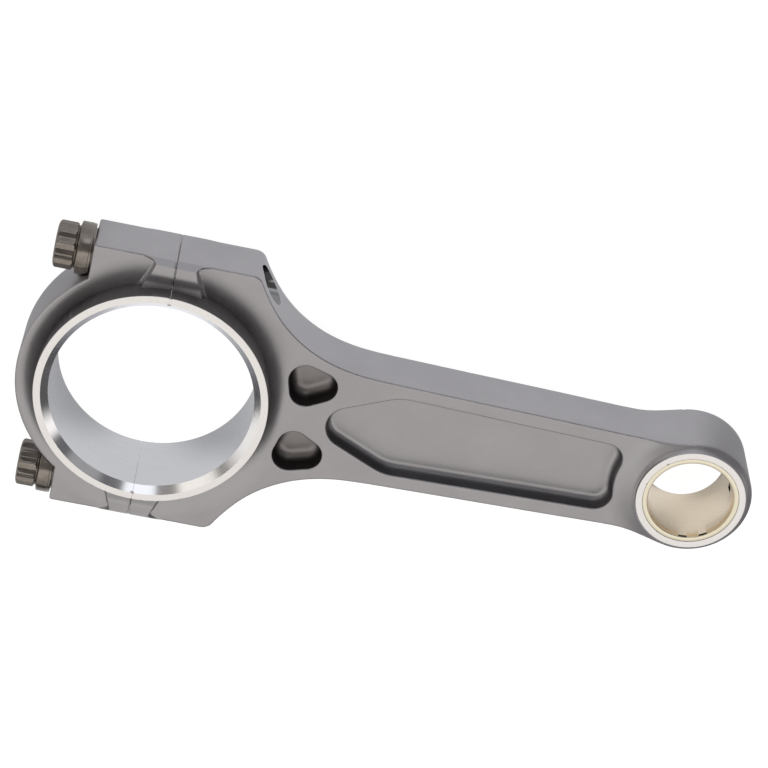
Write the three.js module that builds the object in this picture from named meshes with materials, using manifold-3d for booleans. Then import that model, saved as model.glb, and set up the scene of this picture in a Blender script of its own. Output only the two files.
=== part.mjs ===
// Forged-steel automotive connecting rod with a bolt-on big-end cap.
//
// Millimetres, +Z up. The rod lies flat on its side: +X runs from the crank end
// to the wrist-pin end, +Z is the direction of both bores, and the part stands
// on the lower thrust face of the crank end. The origin is at the middle of the
// outline, on that lower plane.
//
// Pieces: rod_body, big_end_cap, cap_bolt_left, cap_bolt_right,
// dowel_pin_left, dowel_pin_right, wrist_pin_bush.

import * as THREE from 'three';
import { mergeVertices } from 'three/addons/utils/BufferGeometryUtils.js';
import Module from 'manifold-3d';

// ---------------------------------------------------------------- dimensions
const CENTRES = 152.4;          // crank bore to pin bore, 6.000 in
const BORE_R = 28.25;           // crank housing bore radius (56.5 mm bore)
const BIG_HALF = 13.6;          // half of the crank-end width over thrust faces
const THRUST_R = 32.2;          // outer radius of the raised thrust ring
const CHAMFER = 1.9;            // bore chamfer on both sides, clears the crankpin fillets

const PIN_R = 12.0;             // wrist-pin bore in the bush
const BUSH_R = 13.4;            // outside of the bush
const EYE_FACE_R = 15.3;        // machined face of the pin end
const EYE_R = 17.25;            // outside of the pin-end eye
const EYE_HALF = 11.75;         // half width of the pin end over its faces
const EYE_WALL = 9.85;          // half height of the eye's outer wall

const PAD_HALF = 8.1;           // half thickness of the shoulders and the beam
const BAND_HALF = 9.8;          // half thickness of the thick band at the joint
const BAND_Y = 39.35;           // its face ends here and bevels down to the shoulder edge
const BAND_FLARE = [[9.0, 40.85], [7.5, 40.6], [6.5, 40.2], [5.7, 39.5], [5.6, 38.7], [6.0, 37.3],
  [6.7, 35.4], [8.0, 32.1], [9.3, 29.4]]; // its edge, [x, y]
const SHOULDER_Y = 40.85;       // half width over the bolt shoulders
const SEAT_X = -22.6;           // bolt seats on the cap
const CROWN_R = 37.8;           // outside radius of the cap's crown

const VALLEY_IN = 33.6;         // round valley that surrounds the thrust ring
const VALLEY_OUT = 39.2;
const VALLEY_Z = 6.4;

const POCKET_FLOOR = 3.3;       // half thickness of the web in the long pocket
const SMALL_FLOOR = 1.4;        // and in the two small ones, which are deeper
const JOINT_GAP = 0.02;         // each mating face stands back this far

const BOLT_Y = 35.1;            // bolt axes to each side of the bore centre
const BOLT_R = 4.7625;          // 3/8 in bolt
const BOLT_WAIST = 4.1;         // reduced shank between head and joint
const BOLT_HOLE = 4.95;
const BOLT_TIP = 21.5;          // end of the threads inside the rod
const SEAT_RELIEF = 7.75;       // radius of the counterbore round each bolt seat
const FLANGE_R = 7.3;
const FLANGE_IN = -23.0;        // underside of the flange rim
const FLANGE_OUT = -27.0;
const SPLINE_IN = -27.7;        // where the twelve points begin
const HEAD_TOP = -33.1;
const POINT_R = 6.6;            // across the points
const FLAT_R = 5.7;             // at the bottom of the grooves

const DOWEL_R = 1.25;
const DOWEL_Y = 37.5;
const DOWEL_Z = 6.4;
const DOWEL_HALF = 4.5;
const DOWEL_CLEAR = 0.08;       // slip fit in the cap

const TANG_W = 6.2;             // bearing tang notch: width along the bore
const TANG_D = 1.5;             // depth into the wall
const TANG_L = 4.6;             // length from the joint
const TANG_Z = 4.6;             // middle of the notch above mid-thickness

// Move from the bore-centred design frame to the part's own frame.
const SHIFT_X = -(CENTRES + EYE_R - CROWN_R) / 2;
const SHIFT_Z = BIG_HALF;

// ------------------------------------------------------------------- helpers
const wasm = await Module();
wasm.setup();
const { Manifold, Mesh } = wasm;

function solid(geometry) {
  const g = geometry.index ? geometry.toNonIndexed() : geometry.clone();
  g.deleteAttribute('normal');
  g.deleteAttribute('uv');
  const m = mergeVertices(g, 1e-5);
  const tri = [];
  const idx = m.index.array;
  for (let i = 0; i < idx.length; i += 3) {
    if (idx[i] !== idx[i + 1] && idx[i + 1] !== idx[i + 2] && idx[i] !== idx[i + 2]) {
      tri.push(idx[i], idx[i + 1], idx[i + 2]);
    }
  }
  return new Manifold(new Mesh({
    numProp: 3,
    vertProperties: new Float32Array(m.attributes.position.array),
    triVerts: new Uint32Array(tri),
  }));
}

function geometryOf(man) {
  const mesh = man.getMesh();
  const g = new THREE.BufferGeometry();
  g.setAttribute('position', new THREE.BufferAttribute(new Float32Array(mesh.vertProperties), 3));
  g.setIndex(new THREE.BufferAttribute(new Uint32Array(mesh.triVerts), 1));
  g.computeVertexNormals();
  return g;
}

// Plate of a closed outline, from z0 to z1.
function plate(points, z0, z1) {
  const s = new THREE.Shape(points.map(([x, y]) => new THREE.Vector2(x, y)));
  const g = new THREE.ExtrudeGeometry(s, { depth: z1 - z0, bevelEnabled: false, steps: 1 });
  g.translate(0, 0, z0);
  return solid(g);
}

// Body of revolution about the Z axis through (cx, cy); profile is [radius, z].
function turned(profile, cx, cy, segments) {
  const closed = profile.map(([r, z]) => new THREE.Vector2(r, z));
  closed.push(closed[0].clone());
  const g = new THREE.LatheGeometry(closed, segments);
  g.rotateX(Math.PI / 2);
  g.translate(cx, cy, 0);
  let m = solid(g);
  if (m.volume() < 0) {
    const f = g.toNonIndexed();
    const p = f.attributes.position.array;
    for (let i = 0; i < p.length; i += 9) {
      for (let k = 0; k < 3; k++) {
        const t = p[i + 3 + k];
        p[i + 3 + k] = p[i + 6 + k];
        p[i + 6 + k] = t;
      }
    }
    m = solid(f);
  }
  return m;
}

function cylinderZ(r, z0, z1, cx, cy, segments) {
  const g = new THREE.CylinderGeometry(r, r, z1 - z0, segments);
  g.rotateX(Math.PI / 2);
  g.translate(cx, cy, (z0 + z1) / 2);
  return solid(g);
}

function cylinderX(r0, r1, x0, x1, cy, cz, segments) {
  const g = new THREE.CylinderGeometry(r1, r0, x1 - x0, segments);
  g.rotateZ(-Math.PI / 2);
  g.translate((x0 + x1) / 2, cy, cz);
  return solid(g);
}

function box(x0, x1, y0, y1, z0, z1) {
  const g = new THREE.BoxGeometry(x1 - x0, y1 - y0, z1 - z0);
  g.translate((x0 + x1) / 2, (y0 + y1) / 2, (z0 + z1) / 2);
  return solid(g);
}

const mirrorY = (pts) => pts.map(([x, y]) => [x, -y]).reverse();

// Polygon with each corner rounded to its own radius.
function rounded(corners, steps = 5) {
  const out = [];
  const n = corners.length;
  for (let i = 0; i < n; i++) {
    const [x, y, r] = corners[i];
    const a = corners[(i + n - 1) % n];
    const b = corners[(i + 1) % n];
    if (!r) {
      out.push([x, y]);
      continue;
    }
    const u = new THREE.Vector2(a[0] - x, a[1] - y).normalize();
    const v = new THREE.Vector2(b[0] - x, b[1] - y).normalize();
    const half = Math.acos(THREE.MathUtils.clamp(u.dot(v), -1, 1)) / 2;
    const d = r / Math.tan(half);
    const c = u.clone().add(v).normalize().multiplyScalar(r / Math.sin(half));
    const p0 = [u.x * d - c.x, u.y * d - c.y];
    const p1 = [v.x * d - c.x, v.y * d - c.y];
    const a0 = Math.atan2(p0[1], p0[0]);
    let da = Math.atan2(p1[1], p1[0]) - a0;
    while (da > Math.PI) da -= 2 * Math.PI;
    while (da < -Math.PI) da += 2 * Math.PI;
    for (let k = 0; k <= steps; k++) {
      const t = a0 + (da * k) / steps;
      out.push([x + c.x + r * Math.cos(t), y + c.y + r * Math.sin(t)]);
    }
  }
  return out;
}

// ------------------------------------------------------------------ rod body
// Left half of the rod outline, from the joint face to the pin-end eye.
const shoulder = [];
shoulder.push([JOINT_GAP, SHOULDER_Y], [20.6, SHOULDER_Y]);
for (const [x, y] of [[22.1, 40.5], [23.2, 39.7], [23.9, 38.6], [24.8, 37.0], [26.3, 34.6],
  [28.0, 32.1], [30.0, 29.6], [32.2, 27.3], [35.0, 24.9], [40.0, 21.65], [45.0, 19.4],
  [50.0, 17.95], [55.0, 17.1], [60.0, 16.75], [68.0, 16.5], [83.0, 16.1], [100.0, 15.7],
  [112.0, 15.4], [124.0, 15.05], [132.0, 14.85], [136.0, 14.85], [139.0, 15.0],
  [141.8, 15.35], [144.6, 15.9], [147.4, 16.55]]) {
  shoulder.push([x, y]);
}
const eyeArc = [];
const eyeStart = Math.acos((149.6 - CENTRES) / EYE_R);
for (let k = 0; k <= 32; k++) {
  const t = eyeStart - (2 * eyeStart * k) / 32;
  eyeArc.push([CENTRES + EYE_R * Math.cos(t), EYE_R * Math.sin(t)]);
}
const rodOutline = [...shoulder, ...eyeArc, ...mirrorY(shoulder)].reverse();

let rod = plate(rodOutline, -PAD_HALF, PAD_HALF);

// The round valley between the thrust ring and the shoulders, on both faces.
function valley(sign) {
  const p = [[THRUST_R - 1.5, 16], [THRUST_R - 1.5, VALLEY_Z + 0.35], [THRUST_R, VALLEY_Z + 0.35],
    [VALLEY_IN, VALLEY_Z], [35.2, VALLEY_Z + 0.35], [37.2, VALLEY_Z + 1.1],
    [VALLEY_OUT, PAD_HALF + 0.02], [VALLEY_OUT, 16]];
  return turned(sign > 0 ? p : p.map(([r, z]) => [r, -z]).reverse(), 0, 0, 96);
}
const valleyUp = valley(1);
const valleyDown = valley(-1);
rod = rod.subtract(valleyUp).subtract(valleyDown);

// Thrust ring, and the thick band each side of the joint.
// The band's ends are bevelled from its face down to the shoulder edges.
function prismX(profile, x0, x1) {
  const s = new THREE.Shape(profile.map(([y, z]) => new THREE.Vector2(y, z)));
  const g = new THREE.ExtrudeGeometry(s, { depth: x1 - x0, bevelEnabled: false, steps: 1 });
  const m = new THREE.Matrix4().set(0, 0, 1, x0, 1, 0, 0, 0, 0, 1, 0, 0, 0, 0, 0, 1);
  g.applyMatrix4(m);
  return solid(g);
}
const bandRoof = prismX([[-SHOULDER_Y, -PAD_HALF], [-BAND_Y, -BAND_HALF], [BAND_Y, -BAND_HALF],
  [SHOULDER_Y, -PAD_HALF], [SHOULDER_Y, PAD_HALF], [BAND_Y, BAND_HALF], [-BAND_Y, BAND_HALF],
  [-SHOULDER_Y, PAD_HALF]], -12, 12);

const ring = cylinderZ(THRUST_R, -BIG_HALF, BIG_HALF, 0, 0, 96);
const rightOfJoint = box(JOINT_GAP, 90, -60, 60, -20, 20);
const leftOfJoint = box(-90, -JOINT_GAP, -60, 60, -20, 20);
rod = rod.add(ring.intersect(rightOfJoint));
const rodBand = [[JOINT_GAP, SHOULDER_Y], [JOINT_GAP, 29.4], ...[...BAND_FLARE].reverse()];
rod = rod.add(plate(rodBand, -BAND_HALF, BAND_HALF).intersect(bandRoof));
rod = rod.add(plate(mirrorY(rodBand), -BAND_HALF, BAND_HALF).intersect(bandRoof));

// The eye rises from the beam in a concave sweep, up to its machined faces.
const eyeProfile = [[0, EYE_HALF], [EYE_FACE_R, EYE_HALF], [15.5, 11.1], [16.2, 10.4], [EYE_R, EYE_WALL],
  [18.6, 9.2], [20.4, 8.55], [22.4, PAD_HALF - 0.01]];
const eyeFull = turned([...eyeProfile, ...eyeProfile.map(([r, z]) => [r, -z]).reverse()], CENTRES, 0, 64);
rod = rod.add(eyeFull.intersect(plate(rodOutline, -20, 20)));

// Bores.
const bigBoreProfile = [[0, -15], [BORE_R + CHAMFER + 1.4, -15], [BORE_R, -BIG_HALF + CHAMFER],
  [BORE_R, BIG_HALF - CHAMFER], [BORE_R + CHAMFER + 1.4, 15], [0, 15]];
const bigBore = turned(bigBoreProfile, 0, 0, 96);
rod = rod.subtract(bigBore);
rod = rod.subtract(cylinderZ(BUSH_R + 0.02, -20, 20, CENTRES, 0, 64));

// Pockets: one long pocket in the beam and two rounded triangles by the shoulders.
const longPocket = rounded([
  [39.6, 0, 6.35], [67.2, 12.4, 14.0], [132.6, 10.5, 5.0], [130.35, 0, 21.0], [132.6, -10.5, 5.0], [67.2, -12.4, 14.0],
].reverse(), 7);
const triPocket = rounded([[33.8, 19.2, 4.8], [38.4, 2.0, 4.5], [56.6, 12.3, 4.6]], 7);
for (const s of [1, -1]) {
  const [l0, l1] = s > 0 ? [POCKET_FLOOR, 20] : [-20, -POCKET_FLOOR];
  const [t0, t1] = s > 0 ? [SMALL_FLOOR, 20] : [-20, -SMALL_FLOOR];
  rod = rod.subtract(plate(longPocket, l0, l1));
  rod = rod.subtract(plate(triPocket, t0, t1));
  rod = rod.subtract(plate(mirrorY(triPocket), t0, t1));
}

// Bolt holes run through the shoulders and break out in their sloping walls.
for (const s of [1, -1]) {
  rod = rod.subtract(cylinderX(BOLT_HOLE, BOLT_HOLE, -1, 42, s * BOLT_Y, 0, 32));
  rod = rod.subtract(cylinderX(DOWEL_R + 0.02, DOWEL_R + 0.02, -1, DOWEL_HALF + 0.2,
    s * DOWEL_Y, -s * DOWEL_Z, 20));
}

// Bearing tang notch in the bore wall at the joint.
const tang = box(-TANG_L, TANG_L, 25, BORE_R + TANG_D, TANG_Z - TANG_W / 2, TANG_Z + TANG_W / 2);
rod = rod.subtract(tang);

// ------------------------------------------------------------------- the cap
const capOutline = [[-JOINT_GAP, SHOULDER_Y], [SEAT_X + 0.7, SHOULDER_Y], [SEAT_X, SHOULDER_Y - 0.7]];
const crownStart = Math.acos(SEAT_X / CROWN_R);
for (let k = 0; k <= 36; k++) {
  const t = crownStart + ((2 * Math.PI - 2 * crownStart) * k) / 36;
  capOutline.push([CROWN_R * Math.cos(t), CROWN_R * Math.sin(t)]);
}
capOutline.push([SEAT_X, -SHOULDER_Y + 0.7], [SEAT_X + 0.7, -SHOULDER_Y], [-JOINT_GAP, -SHOULDER_Y]);

let cap = plate(capOutline, -PAD_HALF, PAD_HALF);
cap = cap.subtract(valleyUp).subtract(valleyDown);
cap = cap.add(ring.intersect(leftOfJoint));
const capBand = rodBand.map(([x, y]) => [-x, y]).reverse();
cap = cap.add(plate(capBand, -BAND_HALF, BAND_HALF).intersect(bandRoof));
cap = cap.add(plate(mirrorY(capBand), -BAND_HALF, BAND_HALF).intersect(bandRoof));
cap = cap.subtract(bigBore).subtract(tang);
for (const s of [1, -1]) {
  cap = cap.subtract(cylinderX(BOLT_HOLE, BOLT_HOLE, -40, 1, s * BOLT_Y, 0, 32));
  cap = cap.subtract(cylinderX(SEAT_RELIEF, SEAT_RELIEF, -45, SEAT_X, s * BOLT_Y, 0, 40));
  cap = cap.subtract(cylinderX(DOWEL_R + DOWEL_CLEAR, DOWEL_R + DOWEL_CLEAR, -DOWEL_HALF - 0.5, 1,
    s * DOWEL_Y, -s * DOWEL_Z, 20));
}

// ----------------------------------------------------------------- cap bolts
// Flanged twelve-point head, waisted shank, threads drawn at their outside size.
function capBolt(y) {
  const star = [];
  for (let k = 0; k < 48; k++) {
    const phase = k % 4;
    const r = phase < 1 || phase > 2 ? POINT_R : FLAT_R;
    const t = ((k + 0.5) / 48) * 2 * Math.PI;
    star.push([r * Math.cos(t), r * Math.sin(t)]);
  }
  const s = new THREE.Shape(star.map(([a, b]) => new THREE.Vector2(a, b)));
  const g = new THREE.ExtrudeGeometry(s, { depth: SPLINE_IN - HEAD_TOP + 0.6, bevelEnabled: false, steps: 1 });
  g.rotateY(Math.PI / 2);
  g.translate(HEAD_TOP, 0, 0);
  // The head is turned to a chamfer at its outer end and a cone towards the flange.
  const envelope = [[0, HEAD_TOP], [5.9, HEAD_TOP], [POINT_R + 0.05, HEAD_TOP + 0.55],
    [POINT_R + 0.05, SPLINE_IN - 0.35], [5.5, SPLINE_IN + 0.6], [0, SPLINE_IN + 0.6]];
  const toX = (prof, seg) => {
    const c = prof.map(([r, x]) => new THREE.Vector2(r, x));
    c.push(c[0].clone());
    const l = new THREE.LatheGeometry(c, seg);
    l.rotateZ(-Math.PI / 2);
    return solid(l);
  };
  let head = solid(g).intersect(toX(envelope, 48));
  const rest = toX([[0, SPLINE_IN - 1.0], [5.6, SPLINE_IN - 1.0], [5.6, SPLINE_IN + 0.2], [6.4, FLANGE_OUT],
    [FLANGE_R - 0.3, FLANGE_OUT], [FLANGE_R, FLANGE_OUT + 0.3], [FLANGE_R, FLANGE_IN - 0.25],
    [FLANGE_R - 0.25, FLANGE_IN], [6.1, FLANGE_IN], [6.1, SEAT_X - 0.02], [BOLT_R, SEAT_X - 0.02],
    [BOLT_R, -19.5], [BOLT_WAIST, -18.6], [BOLT_WAIST, -3.6], [BOLT_R, -2.7],
    [BOLT_R, BOLT_TIP - 1.0], [BOLT_R - 1.0, BOLT_TIP], [0, BOLT_TIP]], 48);
  let bolt = head.add(rest);
  bolt = bolt.subtract(toX([[0, HEAD_TOP - 1], [1.9, HEAD_TOP - 0.01], [0, HEAD_TOP + 1.4]], 24));
  const out = geometryOf(bolt);
  out.translate(0, y, 0);
  return out;
}

// --------------------------------------------------------------------- dowels
function dowel(s) {
  const c = [[0, -DOWEL_HALF], [DOWEL_R - 0.3, -DOWEL_HALF], [DOWEL_R, -DOWEL_HALF + 0.3],
    [DOWEL_R, DOWEL_HALF - 0.3], [DOWEL_R - 0.3, DOWEL_HALF], [0, DOWEL_HALF]]
    .map(([r, x]) => new THREE.Vector2(r, x));
  c.push(c[0].clone());
  const l = new THREE.LatheGeometry(c, 20);
  l.rotateZ(-Math.PI / 2);
  const g = geometryOf(solid(l));
  g.translate(0, s * DOWEL_Y, -s * DOWEL_Z);
  return g;
}

// ----------------------------------------------------------------------- bush
const bushHalf = EYE_HALF - 0.05;
const bush = turned([[PIN_R, -bushHalf + 0.6], [PIN_R + 0.6, -bushHalf], [BUSH_R - 0.15, -bushHalf],
  [BUSH_R, -bushHalf + 0.15], [BUSH_R, bushHalf - 0.15], [BUSH_R - 0.15, bushHalf],
  [PIN_R + 0.6, bushHalf], [PIN_R, bushHalf - 0.6]], CENTRES, 0, 64);

// ------------------------------------------------------------------- assembly
const steel = new THREE.MeshStandardMaterial({ color: 0x9d9b9b, roughness: 0.42, metalness: 1.0 });
const capSteel = new THREE.MeshStandardMaterial({ color: 0x999798, roughness: 0.42, metalness: 1.0 });
const boltSteelA = new THREE.MeshStandardMaterial({ color: 0x5d544c, roughness: 0.28, metalness: 1.0 });
const boltSteelB = new THREE.MeshStandardMaterial({ color: 0x5d544c, roughness: 0.28, metalness: 1.0 });
const pinSteelA = new THREE.MeshStandardMaterial({ color: 0xb9b9bc, roughness: 0.2, metalness: 1.0 });
const pinSteelB = new THREE.MeshStandardMaterial({ color: 0xb9b9bc, roughness: 0.2, metalness: 1.0 });
const bronze = new THREE.MeshStandardMaterial({ color: 0xd9bf8c, roughness: 0.3, metalness: 1.0 });

const group = new THREE.Group();
function piece(name, geometry, material) {
  const m = new THREE.Mesh(geometry, material);
  m.name = name;
  m.position.set(SHIFT_X, 0, SHIFT_Z);
  group.add(m);
}

piece('rod_body', geometryOf(rod), steel);
piece('big_end_cap', geometryOf(cap), capSteel);
piece('cap_bolt_left', capBolt(BOLT_Y), boltSteelA);
piece('cap_bolt_right', capBolt(-BOLT_Y), boltSteelB);
piece('dowel_pin_left', dowel(1), pinSteelA);
piece('dowel_pin_right', dowel(-1), pinSteelB);
piece('wrist_pin_bush', geometryOf(bush), bronze);

export default group;
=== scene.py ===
import bpy
import math
import numpy as np
from mathutils import Matrix, Vector
from mathutils.geometry import delaunay_2d_cdt


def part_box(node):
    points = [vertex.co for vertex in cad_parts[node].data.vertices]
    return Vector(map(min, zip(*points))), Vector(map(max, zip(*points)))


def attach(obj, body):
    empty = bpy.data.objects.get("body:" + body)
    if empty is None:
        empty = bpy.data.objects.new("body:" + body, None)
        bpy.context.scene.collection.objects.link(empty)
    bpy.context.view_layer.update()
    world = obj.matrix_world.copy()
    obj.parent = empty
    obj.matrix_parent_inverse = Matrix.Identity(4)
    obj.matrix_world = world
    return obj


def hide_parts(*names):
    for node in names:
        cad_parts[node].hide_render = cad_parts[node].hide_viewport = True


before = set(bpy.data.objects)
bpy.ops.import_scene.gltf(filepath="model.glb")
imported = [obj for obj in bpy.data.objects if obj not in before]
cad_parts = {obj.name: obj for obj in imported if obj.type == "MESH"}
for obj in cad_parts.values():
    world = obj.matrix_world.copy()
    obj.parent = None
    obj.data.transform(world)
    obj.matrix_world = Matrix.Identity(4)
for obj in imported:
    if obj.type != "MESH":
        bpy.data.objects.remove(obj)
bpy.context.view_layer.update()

# ---------------------------------------------------------------------------
# Dimensions in millimetres, in a frame centred on the crank bore at half
# thickness: +X to the pin end, +Z along the bores.
# ---------------------------------------------------------------------------
CENTRES = 152.4
BORE_R = 28.25
BIG_HALF = 13.6
THRUST_R = 32.2
CHAMFER = 1.9
PIN_R, BUSH_R = 12.0, 13.4
EYE_FACE_R, EYE_R, EYE_HALF = 15.3, 17.25, 11.75
PAD = 8.1
BAND, BAND_Y = 9.8, 39.35
SHOULDER_Y = 40.85
SEAT_X = -22.6
CROWN_R = 37.8
GAP = 0.03
JOINT_EDGE = 0.22
BOLT_Y, BOLT_R, BOLT_WAIST, BOLT_HOLE, BOLT_TIP = 35.1, 4.7625, 4.1, 4.95, 21.5
FLANGE_R, FLANGE_IN, FLANGE_OUT = 7.3, -23.0, -27.0
HEAD_TOP, POINT_R = -33.1, 6.6
DOWEL_R, DOWEL_Y, DOWEL_Z, DOWEL_HALF = 1.25, 37.5, 6.4, 4.5

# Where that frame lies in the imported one: measured on the rod's own box.
_lo, _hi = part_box("rod_body")
OX = _hi[0] * 1000.0 - (CENTRES + EYE_R)
OY = (_lo[1] + _hi[1]) * 500.0
OZ = (_lo[2] + _hi[2]) * 500.0


def to_m(v):
    v = np.asarray(v, float).reshape(-1, 3)
    return (v + np.array([OX, OY, OZ])) * 0.001


# ---------------------------------------------------------------------------
# Mesh helpers
# ---------------------------------------------------------------------------
def make_object(name, verts, faces, materials=(), smooth_angle=32.0):
    me = bpy.data.meshes.new(name)
    me.from_pydata([tuple(v) for v in to_m(verts)], [], [tuple(f) for f in faces])
    me.update()
    ob = bpy.data.objects.new(name, me)
    bpy.context.scene.collection.objects.link(ob)
    for m in materials:
        me.materials.append(m)
    if smooth_angle is not None:
        smooth(ob, smooth_angle)
    return ob


def smooth(ob, angle):
    me = ob.data
    me.polygons.foreach_set("use_smooth", np.ones(len(me.polygons), dtype=bool))
    me.set_sharp_from_angle(angle=math.radians(angle))
    me.update()


def grid_closed(rings):
    """Faces of a closed skin: rings[i][j] are indices, j runs round, i along. Ends are left to the caller."""
    faces = []
    for a, b in zip(rings[:-1], rings[1:]):
        n = len(a)
        for j in range(n):
            k = (j + 1) % n
            faces.append((a[j], a[k], b[k], b[j]))
    return faces


def revolve(profile, axis, centre, n, closed):
    """Skin of revolution of [radius, along] pairs. axis 'x' or 'z'."""
    verts, rings = [], []
    cx, cy, cz = centre
    for r, h in profile:
        ring = []
        if r < 1e-6:
            ring = [len(verts)] * n
            verts.append((cx + h, cy, cz) if axis == "x" else (cx, cy, cz + h))
        else:
            for j in range(n):
                t = 2 * math.pi * j / n
                ring.append(len(verts))
                if axis == "x":
                    verts.append((cx + h, cy + r * math.cos(t), cz + r * math.sin(t)))
                else:
                    verts.append((cx + r * math.cos(t), cy + r * math.sin(t), cz + h))
        rings.append(ring)
    if closed:
        rings.append(rings[0])
    faces = []
    for f in grid_closed(rings):
        g = []
        for i in f:
            if i not in g:
                g.append(i)
        if len(g) > 2:
            faces.append(g)
    return verts, faces


def fillet_drop(d, r):
    """How far an edge rounded to radius r has dropped at distance d in from it."""
    t = np.clip(r - d, 0, r)
    return r - np.sqrt(np.maximum(r * r - t * t, 0))


def sstep(t):
    t = np.clip(t, 0, 1)
    return t * t * (3 - 2 * t)


def catmull(points, step):
    """Centripetal Catmull-Rom curve through the points, resampled about every step."""
    p = np.array(points, float)
    p = np.vstack([2 * p[0] - p[1], p, 2 * p[-1] - p[-2]])
    out = []
    for i in range(1, len(p) - 2):
        a, b, c, d = p[i - 1], p[i], p[i + 1], p[i + 2]
        t0 = 0.0
        t1 = t0 + max(np.linalg.norm(b - a) ** 0.5, 1e-6)
        t2 = t1 + max(np.linalg.norm(c - b) ** 0.5, 1e-6)
        t3 = t2 + max(np.linalg.norm(d - c) ** 0.5, 1e-6)
        n = max(2, int(math.ceil(np.linalg.norm(c - b) / step)))
        for t in np.linspace(t1, t2, n, endpoint=False):
            a1 = (t1 - t) / (t1 - t0) * a + (t - t0) / (t1 - t0) * b
            a2 = (t2 - t) / (t2 - t1) * b + (t - t1) / (t2 - t1) * c
            a3 = (t3 - t) / (t3 - t2) * c + (t - t2) / (t3 - t2) * d
            b1 = (t2 - t) / (t2 - t0) * a1 + (t - t0) / (t2 - t0) * a2
            b2 = (t3 - t) / (t3 - t1) * a2 + (t - t1) / (t3 - t1) * a3
            out.append((t2 - t) / (t2 - t1) * b1 + (t - t1) / (t2 - t1) * b2)
    out.append(p[-2])
    return np.array(out)


def straight(a, b, step):
    n = max(1, int(math.ceil(math.dist(a, b) / step)))
    return np.array([(a[0] + (b[0] - a[0]) * k / n, a[1] + (b[1] - a[1]) * k / n) for k in range(n + 1)])


def arc(cx, cy, r, a0, a1, step):
    n = max(2, int(math.ceil(abs(a1 - a0) * r / step)))
    t = np.linspace(a0, a1, n + 1)
    return np.c_[cx + r * np.cos(t), cy + r * np.sin(t)]


def join(*parts):
    out = [parts[0]]
    for p in parts[1:]:
        out.append(p[1:] if np.linalg.norm(out[-1][-1] - p[0]) < 1e-4 else p)
    return np.vstack(out)


def relax(p, rounds, keep):
    """Fairs a polyline; keep marks the points that hold still."""
    q = p.copy()
    for _ in range(rounds):
        m = q.copy()
        m[1:-1] = 0.25 * q[:-2] + 0.5 * q[1:-1] + 0.25 * q[2:]
        m[keep] = q[keep]
        q = m
    return q


def seg_distance(px, py, poly, closed):
    """Distance from points to a polyline."""
    a = poly
    b = np.roll(poly, -1, axis=0) if closed else poly[1:]
    a = a if closed else poly[:-1]
    d = b - a
    l2 = np.maximum((d ** 2).sum(1), 1e-12)
    out = np.full(len(px), 1e9)
    for s in range(0, len(px), 4000):
        x, y = px[s:s + 4000, None], py[s:s + 4000, None]
        t = np.clip(((x - a[None, :, 0]) * d[None, :, 0] + (y - a[None, :, 1]) * d[None, :, 1]) / l2[None], 0, 1)
        ex = x - a[None, :, 0] - t * d[None, :, 0]
        ey = y - a[None, :, 1] - t * d[None, :, 1]
        out[s:s + 4000] = np.sqrt((ex * ex + ey * ey).min(1))
    return out


def inside(px, py, poly):
    out = np.zeros(len(px), bool)
    a, b = poly, np.roll(poly, -1, axis=0)
    for s in range(0, len(px), 4000):
        x, y = px[s:s + 4000, None], py[s:s + 4000, None]
        c = ((a[None, :, 1] > y) != (b[None, :, 1] > y))
        with np.errstate(divide="ignore", invalid="ignore"):
            xi = a[None, :, 0] + (y - a[None, :, 1]) * (b[None, :, 0] - a[None, :, 0]) / (b[None, :, 1] - a[None, :, 1])
        out[s:s + 4000] = (c & (x < xi)).sum(1) % 2 == 1
    return out


def offset_loop(poly, d):
    """Closed loop moved inwards by d (outwards if negative); poly runs anticlockwise."""
    t = np.roll(poly, -1, axis=0) - np.roll(poly, 1, axis=0)
    t /= np.maximum(np.linalg.norm(t, axis=1, keepdims=True), 1e-9)
    return poly + d * np.c_[-t[:, 1], t[:, 0]]


def rounded(corners, step):
    """Closed anticlockwise polygon with each corner rounded to its radius."""
    n, parts = len(corners), []
    for i in range(n):
        x, y, r = corners[i]
        p = np.array([x, y])
        a = np.array(corners[i - 1][:2], float)
        b = np.array(corners[(i + 1) % n][:2], float)
        u, v = (a - p) / np.linalg.norm(a - p), (b - p) / np.linalg.norm(b - p)
        half = math.acos(max(-1, min(1, float(u @ v)))) / 2
        d = r / math.tan(half)
        c = p + (u + v) / np.linalg.norm(u + v) * (r / math.sin(half))
        s, e = p + u * d, p + v * d
        a0 = math.atan2(*(s - c)[::-1])
        da = math.atan2(*(e - c)[::-1]) - a0
        while da > math.pi: da -= 2 * math.pi
        while da < -math.pi: da += 2 * math.pi
        k = max(3, int(math.ceil(abs(da) * r / step)))
        parts.append(np.array([c + r * np.array([math.cos(a0 + da * j / k), math.sin(a0 + da * j / k)]) for j in range(k + 1)]))
    out = []
    for i in range(n):
        out.append(parts[i])
        s, e = parts[i][-1], parts[(i + 1) % n][0]
        if np.linalg.norm(e - s) > step:
            out.append(straight(s, e, step)[1:-1])
    return np.vstack([o for o in out if len(o)])


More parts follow.
